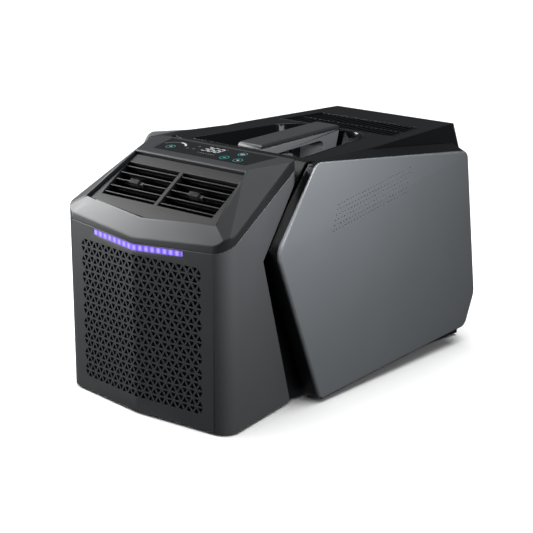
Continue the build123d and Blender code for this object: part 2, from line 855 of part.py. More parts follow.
# ventilation holes: a plain skewed field of small holes beside the upper crease
field_origin = (282.0, 254.0)
field_rows = 6
field_columns = 26
field_step = 6.0
vent_hole_r = 1.0
with BuildPart() as hole_field:
    (t0, z0), (t1, z1) = upper_crease
    slope = degrees(atan((z1 - z0) / (t1 - t0)))
    with BuildSketch(Plane.YZ.offset(pod_outer - 1)):
        with Locations(Location((y_at(field_origin[0]), field_origin[1]), slope)):
            with Locations(*[
                ((column - (field_columns - 1) / 2 + 0.5 * row) * field_step, row * field_step)
                for row in range(-field_rows // 2, field_rows // 2)
                for column in range(field_columns)
            ]):
                Circle(vent_hole_r)
    extrude(amount=20)
with BuildPart() as vented_panel:
    add(right_panel.part)
    add(hole_field.part, mode=Mode.SUBTRACT)
save(vented_panel.part, "right_panel")
save(mirror(vented_panel.part, about=Plane.YZ), "left_panel")


# ---- base, feet and drain --------------------------------------------------
base_thickness = 3.0
base_clear = 0.5
base_rim = 2.5
base_rim_height = 14.0
base_points = mirrored([
    (0, y_at(nose_wall + 4)), (126, y_at(nose_wall + 4 + nose_slope * 126)),
    (frame_half_width - wall - base_clear, y_at(frame_start - 4)),
    (frame_half_width - wall - base_clear, y_at(body_end - 0.5)),
])
with BuildPart() as base_pan:
    with BuildSketch(Plane.XY.offset(lift)):
        add(outline(base_points))
    extrude(amount=base_thickness)
    with BuildSketch(Plane.XY.offset(lift)):
        add(outline(base_points))
        add(outline(base_points, base_rim), mode=Mode.SUBTRACT)
    extrude(amount=base_rim_height)
save(base_pan.part, "base_pan")

foot_r = 12.0
foot_places = [(x, y_at(t)) for x in (-96, 96) for t in (48, 470)]
with BuildPart() as rubber_feet:
    with BuildSketch():
        with Locations(*foot_places):
            Circle(foot_r)
    extrude(amount=lift)
save(rubber_feet.part, "rubber_feet")

# ---- cool side: filter, evaporator, blower and outlet duct -----------------
floor_top = lift + base_thickness
filter_size = (216.0, 196.0)
filter_cells = (6, 5)
filter_bar = 3.0
filter_front = 24.5
filter_frame = 5.0
filter_z = floor_top + 8 + filter_size[1] / 2
with BuildPart() as air_filter:
    cell = [(size - filter_bar) / n for size, n in zip(filter_size, filter_cells)]
    with BuildSketch(Plane.XZ.offset(-y_at(filter_front + filter_frame))):
        with Locations((0, filter_z)):
            Rectangle(*filter_size)
            with GridLocations(*cell, *filter_cells):
                Rectangle(cell[0] - filter_bar, cell[1] - filter_bar, mode=Mode.SUBTRACT)
    extrude(amount=filter_frame)
    with BuildSketch(Plane.XZ.offset(-y_at(filter_front + filter_frame / 2))):
        with Locations((0, filter_z)):
            Rectangle(filter_size[0] - filter_bar, filter_size[1] - filter_bar)
    extrude(amount=0.8)
save(air_filter.part, "air_filter")


coil_width = 196.0
tube_rows = 8
tube_r = 4.0
tube_stub = 6.0


def coil_block(height, start, thickness, z0):
    """A finned block with a serpentine of tube bends showing at both ends."""
    width = coil_width
    with BuildPart() as fins:
        box_between(
            (-width / 2, y_at(start), z0), (width / 2, y_at(start + thickness), z0 + height))
    middle = y_at(start + thickness / 2)
    step = height / tube_rows
    with BuildPart() as bends:
        for side in (-1, 1):
            for row in range(tube_rows):
                x = side * (width + tube_stub) / 2
                with Locations((x, middle, z0 + step * (row + 0.5))):
                    Cylinder(tube_r, tube_stub, rotation=(0, 90, 0))
        for side, first in ((-1, 0), (1, 1)):
            for row in range(first, tube_rows - 1, 2):
                z = z0 + step * (row + 1)
                x = side * (width / 2 + tube_stub + tube_r - 1)
                with Locations((x, middle, z)):
                    Box(2 * tube_r - 2, 2 * tube_r, step + 2 * tube_r)
    with BuildPart() as coil:
        add(fins.part)
        add(bends.part)
    return coil.part


coil_z = floor_top + 6
evaporator_start = 33.0
evaporator_height = 178.0
evaporator_thickness = 30.0
evaporator_coil = coil_block(evaporator_height, evaporator_start, evaporator_thickness, coil_z)
save(evaporator_coil, "evaporator_coil")

blower_axis = (y_at(116), 122.0)
blower_r = 40.0
blower_half = 72.0
housing_half = 90.0
housing_wall = 2.0
housing_r = 52.0
shaft_r = 3.0
shaft_clear = 0.05
outlet_z = 192.0

throat_front = blower_axis[0] - housing_r
throat_rear = blower_axis[0] + 8
inlet_height = 60.0


def scroll(half, inset, past):
    """The housing's volume, inset by its wall and run past its upward throat."""
    with BuildPart() as form:
        with BuildSketch(Plane.YZ.offset(-half)):
            with Locations(blower_axis):
                Circle(housing_r - inset)
            add(outline([
                (throat_front + inset, blower_axis[1]), (throat_rear - inset, blower_axis[1]),
                (throat_rear - inset, outlet_z + past), (throat_front + inset, outlet_z + past),
            ]))
        extrude(amount=2 * half)
    return form.part


with BuildPart() as blower_housing:
    add(scroll(housing_half, 0, 0))
    add(scroll(housing_half - housing_wall, housing_wall, 2), mode=Mode.SUBTRACT)
    with BuildSketch(Plane.XZ.offset(-throat_front + 5)):
        with Locations((0, blower_axis[1])):
            Rectangle(2 * blower_half, inlet_height)
    extrude(amount=-30, mode=Mode.SUBTRACT)
    with BuildSketch(Plane.YZ.offset(-housing_half - 1)):
        with Locations(blower_axis):
            Circle(shaft_r + shaft_clear)
    extrude(amount=2 * housing_half + 2, mode=Mode.SUBTRACT)
save(blower_housing.part, "blower_housing")

blade_count = 24
blade_chord = 9.0
blade_thickness = 1.2
blade_angle = 35.0
disc = 2.0
with BuildPart() as blower_wheel:
    for x in (-blower_half, -disc / 2, blower_half - disc):
        with BuildSketch(Plane.YZ.offset(x)):
            with Locations(blower_axis):
                Circle(blower_r)
        extrude(amount=disc)
    with BuildSketch(Plane.YZ.offset(-blower_half)):
        with Locations(blower_axis):
            with PolarLocations(blower_r - 5.5, blade_count):
                with Locations(Location((0, 0), blade_angle)):
                    Rectangle(blade_chord, blade_thickness)
    extrude(amount=2 * blower_half)
    with BuildSketch(Plane.YZ.offset(-housing_half - 2)):
        with Locations(blower_axis):
            Circle(shaft_r)
    extrude(amount=2 * housing_half + 6)
save(blower_wheel.part, "blower_wheel")

motor_r = 24.0
motor_length = 20.0
with BuildPart() as blower_motor:
    with BuildSketch(Plane.YZ.offset(housing_half)):
        with Locations(blower_axis):
            Circle(motor_r)
    extrude(amount=motor_length)
    with BuildSketch(Plane.YZ.offset(housing_half - 1)):
        with Locations(blower_axis):
            Circle(shaft_r + gap)
    extrude(amount=8, mode=Mode.SUBTRACT)
save(blower_motor.part, "blower_motor")

duct_x = duct_field[0] / 2
duct_sheet = 2.0


def duct_profile(inset, past):
    """Side outline of the duct, inset by its wall and run past both mouths."""
    top_v = window_bottom + window_height + duct_wall
    low = vent_plane.from_local_coords((0, window_bottom - duct_wall + inset, past - duct_depth))
    high = vent_plane.from_local_coords((0, top_v - inset, past - duct_depth))
    return [
        (low.Y, low.Z), (high.Y, high.Z),
        (throat_rear - inset, outlet_z - past), (throat_front + inset, outlet_z - past),
    ]


with BuildPart() as outlet_duct:
    with BuildSketch(Plane.YZ.offset(-duct_x)):
        add(outline(duct_profile(0, 0)))
    extrude(amount=2 * duct_x)
    with BuildSketch(Plane.YZ.offset(duct_sheet - duct_x)):
        add(outline(duct_profile(duct_sheet, 2)))
    extrude(amount=2 * (duct_x - duct_sheet), mode=Mode.SUBTRACT)
save(outlet_duct.part, "outlet_duct")

# ---- warm side: compressor, condenser and fan ------------------------------
compressor_place = (-46.0, y_at(248))
compressor_r = 48.0
compressor_height = 150.0
mount_height = 10.0
mount_r = 9.0
bolt_circle = compressor_r + 8
bolt_r = 2.8
bolt_hole_r = 3.2
foot_sheet = 3.0
with BuildPart() as compressor_mounts:
    with BuildSketch(Plane.XY.offset(floor_top)):
        with Locations(compressor_place):
            with PolarLocations(bolt_circle, 3, start_angle=30):
                Circle(mount_r)
                Circle(bolt_hole_r, mode=Mode.SUBTRACT)
    extrude(amount=mount_height)
save(compressor_mounts.part, "compressor_mounts")

compressor_z = floor_top + mount_height
can_z = compressor_z + foot_sheet
stub_place = (compressor_place[0], compressor_place[1] + 8)
stub_r = 5.0
stub_top = can_z + compressor_height + 14
with BuildPart() as compressor:
    with BuildSketch(Plane.XY.offset(compressor_z)):
        with Locations(compressor_place):
            Circle(compressor_r - 10)
            with PolarLocations(compressor_r + 2, 3, start_angle=30):
                RectangleRounded(30, 22, 6)
            with PolarLocations(bolt_circle, 3, start_angle=30):
                Circle(bolt_hole_r, mode=Mode.SUBTRACT)
    extrude(amount=foot_sheet)
    with BuildSketch(Plane.XY.offset(can_z)):
        with Locations(compressor_place):
            Circle(compressor_r)
    extrude(amount=compressor_height)
    fillet(compressor.edges().filter_by(GeomType.CIRCLE).sort_by(Axis.Z)[-1:], radius=20)
    with BuildSketch(Plane.XY.offset(can_z + compressor_height)):
        with Locations(stub_place):
            Circle(stub_r)
    extrude(amount=stub_top - can_z - compressor_height)
save(compressor.part, "compressor")

with BuildPart() as compressor_bolts:
    with BuildSketch(Plane.XY.offset(floor_top)):
        with Locations(compressor_place):
            with PolarLocations(bolt_circle, 3, start_angle=30):
                Circle(bolt_r)
    extrude(amount=mount_height + foot_sheet + 5)
    with BuildSketch(Plane.XY.offset(can_z)):
        with Locations(compressor_place):
            with PolarLocations(bolt_circle, 3, start_angle=30):
                RegularPolygon(5.5, 6)
    extrude(amount=5)
save(compressor_bolts.part, "compressor_bolts")

accumulator_place = (compressor_place[0] + 74, compressor_place[1])
accumulator_r = 17.0
accumulator_z = 70.0
accumulator_height = 92.0
with BuildPart() as accumulator:
    with BuildSketch(Plane.XY.offset(accumulator_z)):
        with Locations(accumulator_place):
            Circle(accumulator_r)
    extrude(amount=accumulator_height)
    fillet(accumulator.edges().filter_by(GeomType.CIRCLE), radius=7)
    with BuildSketch(Plane.YZ.offset(compressor_place[0] + compressor_r - 1)):
        with Locations((compressor_place[1], 90), (compressor_place[1], 135)):
            Rectangle(12, 10)
    extrude(amount=20)
    with Locations((*compressor_place, 0)):
        Cylinder(compressor_r, 600, mode=Mode.SUBTRACT)
save(accumulator.part, "accumulator")

pipe_r = 3.5
pipe_bend_r = 14.0
suction_x = 102.5
suction_z = 215.0
discharge_z = 225.0
partition_height = 276.0
with BuildPart() as partition:
    with BuildSketch(Plane.XZ.offset(-y_at(bulkhead + 2))):
        with Locations((0, floor_top + partition_height / 2)):
            Rectangle(2 * (frame_half_width - wall - base_rim - 1), partition_height)
        with Locations((suction_x, suction_z)):
            Circle(pipe_r + 1.5, mode=Mode.SUBTRACT)
    extrude(amount=2)
save(partition.part, "partition")

condenser_start = 484.0
condenser_height = 186.0
condenser_thickness = 26.0
condenser_coil = coil_block(condenser_height, condenser_start, condenser_thickness, coil_z)
save(condenser_coil, "condenser_coil")

fan_place = (0.0, y_at(447))
fan_r = 56.0
fan_z = 264.0
fan_height = 20.0
fan_blades = 7
fan_hub_r = 18.0
fan_pitch = 28.0
fan_blade_chord = 26.0
fan_motor_r = 22.0
fan_motor_length = 34.0
ring_clear = 3.0
shroud_z = 252.0
with BuildPart() as fan_shroud:
    with BuildSketch(Plane.XY.offset(shroud_z)):
        with Locations((0, y_at(440))):
            Rectangle(2 * (body_half_width - wall - 9), 116)
        with Locations(fan_place):
            Circle(fan_r + ring_clear, mode=Mode.SUBTRACT)
            with PolarLocations(0, 3):
                with Locations((0, (fan_r + ring_clear) / 2)):
                    Rectangle(8, fan_r + ring_clear + 6)
            Circle(fan_motor_r + 2)
    extrude(amount=3)
    with BuildSketch(Plane.XY.offset(shroud_z)):
        with Locations(fan_place):
            Circle(fan_r + ring_clear + 2.5)
            Circle(fan_r + ring_clear, mode=Mode.SUBTRACT)
    extrude(amount=fan_z + fan_height - shroud_z)
    with Locations((*fan_place, shroud_z)):
        Cylinder(shaft_r + shaft_clear, 40, mode=Mode.SUBTRACT)
save(fan_shroud.part, "fan_shroud")

with BuildPart() as fan_motor:
    with BuildSketch(Plane.XY.offset(shroud_z)):
        with Locations(fan_place):
            Circle(fan_motor_r)
    extrude(amount=-fan_motor_length)
    with Locations((*fan_place, shroud_z)):
        Cylinder(shaft_r + gap, 30, mode=Mode.SUBTRACT)
save(fan_motor.part, "fan_motor")

with BuildPart() as condenser_fan:
    with BuildSketch(Plane.XY.offset(fan_z)):
        with Locations(fan_place):
            Circle(fan_hub_r)
    extrude(amount=fan_height - 2)
    for i in range(fan_blades):
        outward = Vector(1, 0, 0).rotate(Axis.Z, 360 / fan_blades * i)
        tilted = Plane(
            origin=(*fan_place, fan_z + fan_height / 2 - 1),
            x_dir=outward,
            z_dir=Vector(0, 0, 1).rotate(Axis((0, 0, 0), outward), fan_pitch),
        )
        with BuildSketch(tilted.offset(-1)):
            with Locations(((fan_r + fan_hub_r - 6) / 2, 0)):
                RectangleRounded(fan_r - fan_hub_r + 4, fan_blade_chord, 5)
        extrude(amount=2)
    with BuildSketch(Plane.XY.offset(shroud_z - 12)):
        with Locations(fan_place):
            Circle(shaft_r)
    extrude(amount=fan_z - shroud_z + 14)
save(condenser_fan.part, "condenser_fan")

# ---- refrigerant pipes -----------------------------------------------------


def pipe(*points):
    with BuildPart() as tube:
        with BuildLine() as route:
            FilletPolyline(*points, radius=pipe_bend_r)
        with BuildSketch(Plane(origin=route.wire() @ 0, z_dir=route.wire() % 0)):
            Circle(pipe_r)
        sweep()
    return tube.part


evaporator_y = y_at(evaporator_start + evaporator_thickness / 2)
condenser_y = y_at(condenser_start + condenser_thickness / 2)
suction = pipe(
    (*accumulator_place, accumulator_z + accumulator_height),
    (*accumulator_place, suction_z),
    (suction_x, accumulator_place[1], suction_z),
    (suction_x, evaporator_y, suction_z),
    (suction_x, evaporator_y, coil_z + evaporator_height * (1 - 0.5 / tube_rows)),
)
discharge = pipe(
    (*stub_place, stub_top),
    (*stub_place, discharge_z),
    (stub_place[0], condenser_y, discharge_z),
    (stub_place[0], condenser_y, coil_z + condenser_height),
)
with BuildPart() as refrigerant_pipes:
    add(suction)
    add(discharge)
    add(evaporator_coil, mode=Mode.SUBTRACT)
save(refrigerant_pipes.part, "refrigerant_pipes")

# ---- power electronics -----------------------------------------------------
tray_low = (36, y_at(186), floor_top + 2)
tray_high = (108, y_at(330), 62)
tray_wall = 2.0
with BuildPart() as electronics_tray:
    box_between(tray_low, tray_high)
    inner_low = tuple(v + tray_wall for v in tray_low)
    inner_high = (tray_high[0] - tray_wall, tray_high[1] - tray_wall, tray_high[2] + 1)
    size = [b - a for a, b in zip(inner_low, inner_high)]
    with Locations(tuple((a + b) / 2 for a, b in zip(inner_low, inner_high))):
        Box(*size, mode=Mode.SUBTRACT)
    for x in (inner_low[0] + 8, inner_high[0] - 8):
        for y in (inner_low[1] + 10, inner_high[1] - 10):
            with Locations((x, y, inner_low[2] + 3)):
                Cylinder(3, 6)
save(electronics_tray.part, "electronics_tray")

with BuildPart() as power_board:
    board_z = inner_low[2] + 6
    box_between((inner_low[0] + 1, inner_low[1] + 1, board_z),
                (inner_high[0] - 1, inner_high[1] - 1, board_z + board))
    for x, t, across, deep, tall in (
            (55, 205, 20, 22, 18), (88, 210, 28, 12, 22), (60, 250, 24, 30, 12),
            (92, 262, 18, 18, 26), (70, 300, 34, 20, 16)):
        with Locations((x, y_at(t), board_z + board + tall / 2)):
            Box(across, deep, tall)
save(power_board.part, "power_board")

with BuildPart() as electronics_lid:
    box_between((tray_low[0], tray_low[1], tray_high[2]),
                (tray_high[0], tray_high[1], tray_high[2] + 2))
save(electronics_lid.part, "electronics_lid")

# ---- fasteners -------------------------------------------------------------
head_r = 3.2
head_height = 1.4
cover_screw_places = [(-108, 18), (108, 18), (-112, 150), (112, 150), (-92, 296), (92, 296)]
with BuildPart() as casing_screws:
    with BuildSketch(Plane.XZ.offset(-y_at(cover_end))):
        with Locations(*cover_screw_places):
            Circle(head_r)
    extrude(amount=-head_height)
    with BuildSketch(Plane.XY.offset(body_top - well_depth)):
        for t in (grip_front + 12, grip_rear - 26):
            with Locations((-10, y_at(t)), (10, y_at(t))):
                Circle(head_r)
    extrude(amount=-head_height)
save(casing_screws.part, "casing_screws")
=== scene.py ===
import json
from math import cos, pi, radians, sin

import bmesh
import bpy
from mathutils import Matrix, Vector


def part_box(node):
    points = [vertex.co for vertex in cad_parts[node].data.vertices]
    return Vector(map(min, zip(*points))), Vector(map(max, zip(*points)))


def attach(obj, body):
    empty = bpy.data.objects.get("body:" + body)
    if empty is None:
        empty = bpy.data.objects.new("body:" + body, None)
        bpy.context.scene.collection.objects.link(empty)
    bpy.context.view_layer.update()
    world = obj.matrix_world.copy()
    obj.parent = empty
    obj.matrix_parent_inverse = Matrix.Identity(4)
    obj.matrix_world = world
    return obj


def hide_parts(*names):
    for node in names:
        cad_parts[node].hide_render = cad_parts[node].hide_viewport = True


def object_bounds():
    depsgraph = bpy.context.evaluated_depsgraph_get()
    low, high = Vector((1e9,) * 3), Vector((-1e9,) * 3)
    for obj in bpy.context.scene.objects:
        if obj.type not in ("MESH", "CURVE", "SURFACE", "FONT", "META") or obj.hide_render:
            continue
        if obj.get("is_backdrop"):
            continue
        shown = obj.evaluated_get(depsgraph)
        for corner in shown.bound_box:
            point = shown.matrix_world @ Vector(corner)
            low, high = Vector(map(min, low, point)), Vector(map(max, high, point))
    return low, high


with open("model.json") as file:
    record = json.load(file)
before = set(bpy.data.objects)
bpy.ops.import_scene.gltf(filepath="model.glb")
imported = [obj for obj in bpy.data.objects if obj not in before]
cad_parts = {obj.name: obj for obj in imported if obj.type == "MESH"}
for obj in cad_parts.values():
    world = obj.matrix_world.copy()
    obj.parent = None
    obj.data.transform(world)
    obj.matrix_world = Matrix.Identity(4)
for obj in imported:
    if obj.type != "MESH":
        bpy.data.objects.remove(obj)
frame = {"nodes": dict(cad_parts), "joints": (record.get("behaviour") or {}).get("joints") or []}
cad_low, cad_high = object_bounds()
nodes = frame["nodes"]
mm = 0.001

# ---- studio -----------------------------------------------------------------
# A pale seamless floor under large soft boxes, and a long lens a little above
# the unit's front right corner. None of it belongs to the unit.
azimuth, elevation = radians(41.81), radians(16.28)
reach = 1.659
lens = 100.25
aim = Vector((0.2191, cad_low.y, 0.2349))
back = Vector((sin(azimuth) * cos(elevation), -cos(azimuth) * cos(elevation), sin(elevation)))
camera = bpy.data.objects.new("camera", bpy.data.cameras.new("camera"))
camera.location = aim + back * reach
camera.rotation_euler = (pi / 2 - elevation, 0, azimuth)
camera.data.lens = lens
camera.data.sensor_width = 36
camera.data.clip_end = 100
bpy.context.scene.collection.objects.link(camera)
bpy.context.scene.camera = camera
bpy.context.scene.view_settings.view_transform = "Standard"


class Value:
    """What comes out of a node; sums and products of it add their own nodes."""

    def __init__(self, tree, socket):
        self.tree = tree
        self.socket = socket

    def maths(self, operation, *terms):
        return self.tree.node("ShaderNodeMath", {"operation": operation}, dict(enumerate(terms)))

    def __add__(self, other):
        return self.maths("ADD", self, other)

    def __sub__(self, other):
        return self.maths("SUBTRACT", self, other)

    def __rsub__(self, other):
        return self.maths("SUBTRACT", other, self)

    def __mul__(self, other):
        return self.maths("MULTIPLY", self, other)

    def __truediv__(self, other):
        return self.maths("DIVIDE", self, other)

    def __gt__(self, other):
        return self.maths("GREATER_THAN", self, other)

    def __pow__(self, other):
        return self.maths("POWER", self, other)

    def __abs__(self):
        return self.maths("ABSOLUTE", self)

    def wave(self, length):
        """A sine of this value, from -1 to 1, that repeats over a length."""
        turn = self * (2 * pi / length)
        return turn.maths("SINE", turn)

    __radd__ = __add__
    __rmul__ = __mul__


class Tree:
    """A node tree that is being put together."""

    def __init__(self, tree):
        self.tree = tree

    def node(self, kind, settings=None, values=None, output=0):
        made = self.tree.nodes.new(kind)
        for name, setting in (settings or {}).items():
            setattr(made, name, setting)
        for name, value in (values or {}).items():
            self.feed(made.inputs[name], value)
        return Value(self, made.outputs[output])

    def feed(self, socket, value):
        if isinstance(value, Value):
            self.tree.links.new(value.socket, socket)
        else:
            socket.default_value = value


class Finish(Tree):
    """A material: the surface of one kind of piece."""

    def __init__(self, name, **surface):
        self.material = bpy.data.materials.new(name)
        self.material.use_nodes = True
        super().__init__(self.material.node_tree)
        self.shader = self.tree.nodes["Principled BSDF"]
        self.place = self.node("ShaderNodeTexCoord", output="Object")
        self.surface(**surface)

    def surface(self, **inputs):
        for name, value in inputs.items():
            self.feed(self.shader.inputs[name.replace("_", " ")], value)

    def along(self, axis):
        return self.node("ShaderNodeSeparateXYZ", {}, {0: self.place}, axis)

    def noise(self, scale, detail=2.0, stretch=(1, 1, 1)):
        spread = self.node("ShaderNodeMapping", {}, {"Vector": self.place, "Scale": stretch})
        return self.node("ShaderNodeTexNoise", {}, {"Vector": spread, "Scale": scale, "Detail": detail})

    def tone(self, amount, dark, light):
        return self.node("ShaderNodeMix", {"data_type": "RGBA"}, {0: amount, 6: dark, 7: light}, 2)

    def relief(self, height, distance, strength=1.0):
        values = {"Height": height, "Distance": distance, "Strength": strength}
        return self.node("ShaderNodeBump", {}, values, "Normal")


def shade(colour, factor):
    return tuple(min(1.0, c * factor) for c in colour[:3]) + (1.0,)


floor_finish = Finish("floor_paper", Roughness=0.9, Specular_IOR_Level=0.1)
floor_finish.surface(Base_Color=floor_finish.tone(
    floor_finish.noise(3.0), (0.90, 0.90, 0.90, 1), (0.92, 0.92, 0.92, 1)))
floor_half = 14.0
floor_mesh = bpy.data.meshes.new("floor")
floor_mesh.from_pydata(
    [(x * floor_half, y * floor_half, -0.0002) for x, y in ((-1, -1), (1, -1), (1, 1), (-1, 1))],
    [], [(0, 1, 2, 3)])
floor = bpy.data.objects.new("floor", floor_mesh)
floor.data.materials.append(floor_finish.material)
bpy.context.scene.collection.objects.link(floor)
floor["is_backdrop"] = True

world = bpy.data.worlds.new("studio")
world.use_nodes = True
world.node_tree.nodes["Background"].inputs["Color"].default_value = (0.90, 0.95, 1.0, 1)
world.node_tree.nodes["Background"].inputs["Strength"].default_value = 0.07
bpy.context.scene.world = world

# the floor has a lamp of its own and throws nothing back at the unit
floor.visible_diffuse = False
floor.visible_glossy = False
floor_lamp = bpy.data.objects.new("floor_lamp", bpy.data.lights.new("floor_lamp", "SUN"))
floor_lamp.data.energy = 3.6
floor_lamp.data.angle = radians(70)
lit_by_floor_lamp = bpy.data.collections.new("lit_by_floor_lamp")
lit_by_floor_lamp.objects.link(floor)
floor_lamp.light_linking.receiver_collection = lit_by_floor_lamp
bpy.context.scene.collection.objects.link(floor_lamp)


def soft_box(name, place, size, power, colour=(1, 1, 1)):
    """A rectangular soft box that faces the middle of the unit."""
    lamp = bpy.data.lights.new(name, "AREA")
    lamp.shape = "RECTANGLE"
    lamp.size, lamp.size_y = size
    lamp.energy = power
    lamp.color = colour
    box = bpy.data.objects.new(name, lamp)
    box.location = place
    towards = Vector((0, 0, 0.15)) - Vector(place)
    box.rotation_euler = towards.to_track_quat("-Z", "Y").to_euler()
    bpy.context.scene.collection.objects.link(box)
    return box


soft_box("overhead_box", (0.1, 0.5, 2.2), (1.6, 1.4), 11)
soft_box("left_box", (-1.45, -0.50, 1.00), (0.6, 0.8), 26)
soft_box("low_box", (-1.9, -1.45, 0.25), (0.9, 0.7), 26)
soft_box("key_box", (1.5, 0.1, 0.72), (0.7, 0.8), 5)

# a small box close to the right-hand panel lights only the pieces on that side
side_box = soft_box("side_box", (0.42, -0.22, 0.60), (0.25, 0.25), 6.0)
lit_by_side_box = bpy.data.collections.new("lit_by_side_box")
side_box.light_linking.receiver_collection = lit_by_side_box


# ---- base pan and feet ------------------------------------------------------
# A folded sheet-steel pan, powder coated black, that carries the compressor and
# both coils. Four turned rubber feet are glued under it.
def moulded(name, colour, roughness, grain=0.0004, relief=0.00004, cloud=0.10, **surface):
    """A moulded or coated skin: fine grain, with tone and gloss a little uneven."""
    finish = Finish(name, **surface)
    drift = finish.noise(14.0, 3.0)
    speck = finish.noise(1 / grain, 1.0)
    finish.surface(
        Base_Color=finish.tone(drift, shade(colour, 1 - cloud), shade(colour, 1 + cloud)),
        Roughness=drift * (roughness * 0.22) + speck * (roughness * 0.14) + roughness * 0.82,
        Normal=finish.relief(speck, relief),
    )
    return finish.material


def dress(node, material):
    """Gives a CAD node its finish."""
    for place in nodes[node].material_slots:
        place.material = material


def kept(piece, body, slot, *stands_for):
    """Hangs a finished piece on its body and hides the CAD parts that it stands for."""
    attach(piece, body)
    if stands_for:
        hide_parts(*stands_for)
    return piece


def from_mesh(name, mesh, material, smooth=False):
    mesh.name = name
    mesh.materials.clear()
    mesh.materials.append(material)
    mesh.polygons.foreach_set("use_smooth", [smooth] * len(mesh.polygons))
    piece = bpy.data.objects.new(name, mesh)
    bpy.context.scene.collection.objects.link(piece)
    return piece


def settle(piece):
    """Turns a piece's modifiers into its plain mesh."""
    bpy.context.view_layer.update()
    depsgraph = bpy.context.evaluated_depsgraph_get()
    mesh = bpy.data.meshes.new_from_object(
        piece.evaluated_get(depsgraph), preserve_all_data_layers=True, depsgraph=depsgraph)
    piece.modifiers.clear()
    piece.data = mesh
    return piece


pan_coat = moulded("pan_powder_coat", (0.045, 0.045, 0.05), 0.5, 0.0009, 0.00012)
for node in ("base_pan", "partition", "electronics_tray", "electronics_lid"):
    dress(node, pan_coat)

rubber = moulded("foot_rubber", (0.018, 0.018, 0.018), 0.8, 0.0007, 0.0001, Specular_IOR_Level=0.3)
dress("compressor_mounts", rubber)


def turned(name, profile, centre, axis, material, steps=48):
    """A turned piece from its half profile, as (radius, height) along an axis."""
    turn = Vector((0, 0, 1)).rotation_difference(Vector(axis)).to_matrix().to_4x4()
    shape = bmesh.new()
    rings = []
    for radius, height in profile:
        ring = []
        for i in range(steps if radius > 0 else 1):
            angle = 2 * pi * i / steps
            ring.append(shape.verts.new((radius * cos(angle), radius * sin(angle), height)))
        rings.append(ring)
    for a, b in zip(rings, rings[1:]):
        for i in range(steps):
            j = (i + 1) % steps
            corners = [a[i % len(a)], a[j % len(a)], b[j % len(b)], b[i % len(b)]]
            shape.faces.new(list(dict.fromkeys(corners)))
    bmesh.ops.transform(shape, matrix=Matrix.Translation(Vector(centre)) @ turn, verts=shape.verts)
    bmesh.ops.recalc_face_normals(shape, faces=shape.faces)
    mesh = bpy.data.meshes.new(name)
    shape.to_mesh(mesh)
    shape.free()
    return from_mesh(name, mesh, material, smooth=True)


def joined(name, pieces):
    """Several meshes of one finish as one piece."""
    shape = bmesh.new()
    for piece in pieces:
        shape.from_mesh(piece.data)
    mesh = bpy.data.meshes.new(name)
    shape.to_mesh(mesh)
    shape.free()
    material = pieces[0].data.materials[0]
    for piece in pieces:
        bpy.data.objects.remove(piece)
    return from_mesh(name, mesh, material, smooth=True)


foot_low, foot_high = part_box("rubber_feet")
foot_r = 12 * mm
foot_top = foot_high.z
foot_profile = [
    (0, 0.7 * mm), (7 * mm, 0.7 * mm), (7.6 * mm, 0), (10.8 * mm, 0), (11.6 * mm, 0.4 * mm),
    (foot_r, 1.2 * mm), (foot_r, foot_top), (0, foot_top),
]
feet = joined("foot_pads", [
    turned(f"foot_{x:.2f}_{y:.2f}", foot_profile, (x, y, 0), (0, 0, 1), rubber)
    for x in (foot_low.x + foot_r, foot_high.x - foot_r)
    for y in (foot_low.y + foot_r, foot_high.y - foot_r)
])
kept(feet, "housing", "foot_rubber", "rubber_feet")

# ---- cooling circuit --------------------------------------------------------
# The rotary compressor stands on rubber bushes, with copper pipes to two coils
# of aluminium fins pressed over hairpin tubes.
compressor_enamel = moulded(
    "compressor_enamel", (0.012, 0.012, 0.013), 0.22, 0.004, 0.0001, Coat_Weight=0.4)
zinc = moulded("zinc_plate", (0.5, 0.5, 0.52), 0.34, 0.0006, 0.00003, Metallic=1.0)
copper = moulded("drawn_copper", (0.60, 0.30, 0.19), 0.3, 0.003, 0.00005, 0.25, Metallic=1.0)
for node in ("compressor", "accumulator"):
    dress(node, compressor_enamel)
dress("compressor_bolts", zinc)
dress("refrigerant_pipes", copper)
for node in ("blower_motor", "fan_motor"):
    dress(node, zinc)

coil_tube = moulded("coil_tube", (0.55, 0.34, 0.22), 0.4, 0.003, 0.00004, 0.2, Metallic=1.0)
for node in ("evaporator_coil", "condenser_coil"):
    dress(node, coil_tube)
fin_alloy = moulded("fin_alloy", (0.62, 0.63, 0.65), 0.42, 0.0015, 0.00003, Metallic=1.0)


